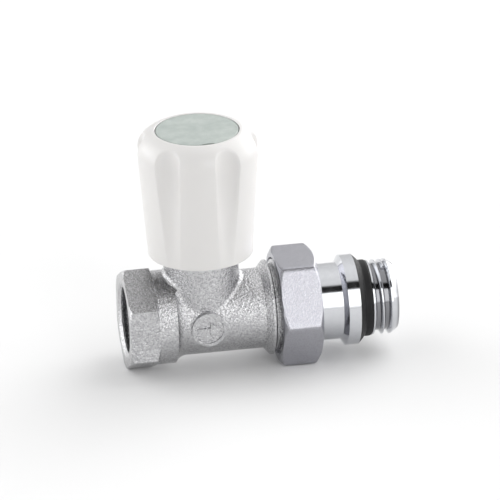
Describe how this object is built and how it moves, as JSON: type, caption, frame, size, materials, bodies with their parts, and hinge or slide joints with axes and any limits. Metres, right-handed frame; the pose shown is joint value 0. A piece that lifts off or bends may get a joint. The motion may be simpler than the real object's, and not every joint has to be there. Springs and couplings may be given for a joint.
{
  "type": "radiator valve",
  "caption": "Straight manual radiator valve with a threaded inlet port, a fluted handwheel that lifts a washered plug, and a union nut and tail for the radiator.",
  "frame": {"origin": "centre of the inlet port's thread at its first full turn, 0.75 mm inside the port's end face", "axes": "+X along the pipe axis from the inlet to the radiator end, +Z along the spindle towards the handwheel's cover"},
  "size_m": [0.0761, 0.034, 0.07],
  "materials": {
    "plated_casting": "satin",
    "plated_nut": "satin",
    "polished_chrome": "polished",
    "bonnet_brass": "satin",
    "turned_brass": "satin",
    "spring_steel": "satin",
    "white_plastic": "gloss",
    "grey_plastic": "satin",
    "slip_washer": "matte",
    "gasket": "matte",
    "rubber": "matte"
  },
  "bodies": {
    "valve": {"valve_body": "plated_casting", "bonnet": "bonnet_brass", "bonnet_gasket": "gasket"},
    "plug": {"plug_carrier": "turned_brass", "plug_washer": "rubber", "plug_plate": "turned_brass", "plug_screw": "spring_steel"},
    "handwheel": {"spindle": "turned_brass", "spindle_thrust_washer": "slip_washer", "spindle_o_ring_lower": "rubber", "spindle_o_ring_upper": "rubber", "spindle_clip": "spring_steel", "handwheel": "white_plastic", "handwheel_washer": "spring_steel", "handwheel_screw": "spring_steel", "cover_disc": "grey_plastic"},
    "tail": {"tailpiece": "polished_chrome", "union_o_ring": "rubber", "nut_retaining_ring": "spring_steel", "radiator_seal": "rubber"},
    "nut": {"union_nut": "plated_nut"}
  },
  "joints": [
    {"name": "handwheel_turn", "type": "hinge", "parent": "valve", "child": "handwheel", "pos_m": [0.02135, 0, 0.031], "axis": [0, 0, 1], "range_deg": [0, 1080]},
    {"name": "plug_lift", "type": "slide", "parent": "valve", "child": "plug", "axis": [0, 0, 1], "range_m": [0, 0.0045]},
    {"name": "tail_draw", "type": "slide", "parent": "valve", "child": "tail", "axis": [1, 0, 0], "range_m": [0, 0.00635]},
    {"name": "nut_turn", "type": "hinge", "parent": "tail", "child": "nut", "pos_m": [0.04725, 0, 0], "axis": [1, 0, 0], "range_deg": [0, 1260]}
  ],
  "couplings": [
    {"joint": "plug_lift", "follows": "handwheel_turn", "m_per_rad": 0.00023873},
    {"joint": "nut_turn", "follows": "tail_draw", "rad_per_m": 3463.7}
  ]
}
